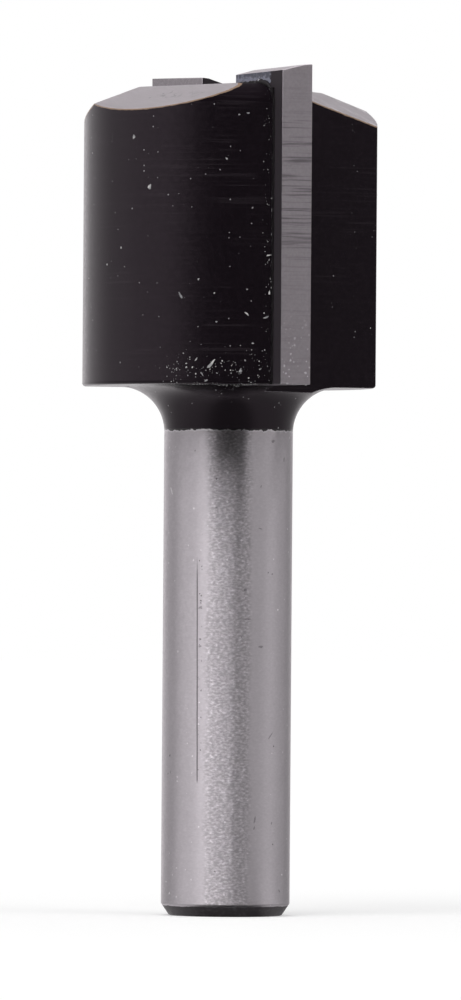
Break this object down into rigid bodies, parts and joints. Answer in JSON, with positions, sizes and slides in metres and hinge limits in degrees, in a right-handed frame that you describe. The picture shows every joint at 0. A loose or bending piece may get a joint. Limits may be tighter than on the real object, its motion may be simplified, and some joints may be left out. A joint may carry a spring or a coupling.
{
  "type": "straight router bit",
  "caption": "Straight router bit: painted steel head with brazed carbide cutting tips on a plain round shank.",
  "frame": {"origin": "centre of the flat end of the shank", "axes": "+Z runs along the shank's axis from its end to the cutting end; the two long cutting edges lie over the X axis"},
  "size_m": [0.02, 0.0182, 0.0525],
  "materials": {
    "cutter_body": "gloss",
    "carbide": "satin",
    "braze": "satin"
  },
  "bodies": {
    "root": {"cutter_body": "cutter_body", "carbide_tip_front": "carbide", "carbide_tip_rear": "carbide", "braze_front": "braze", "braze_rear": "braze"}
  },
  "joints": []
}
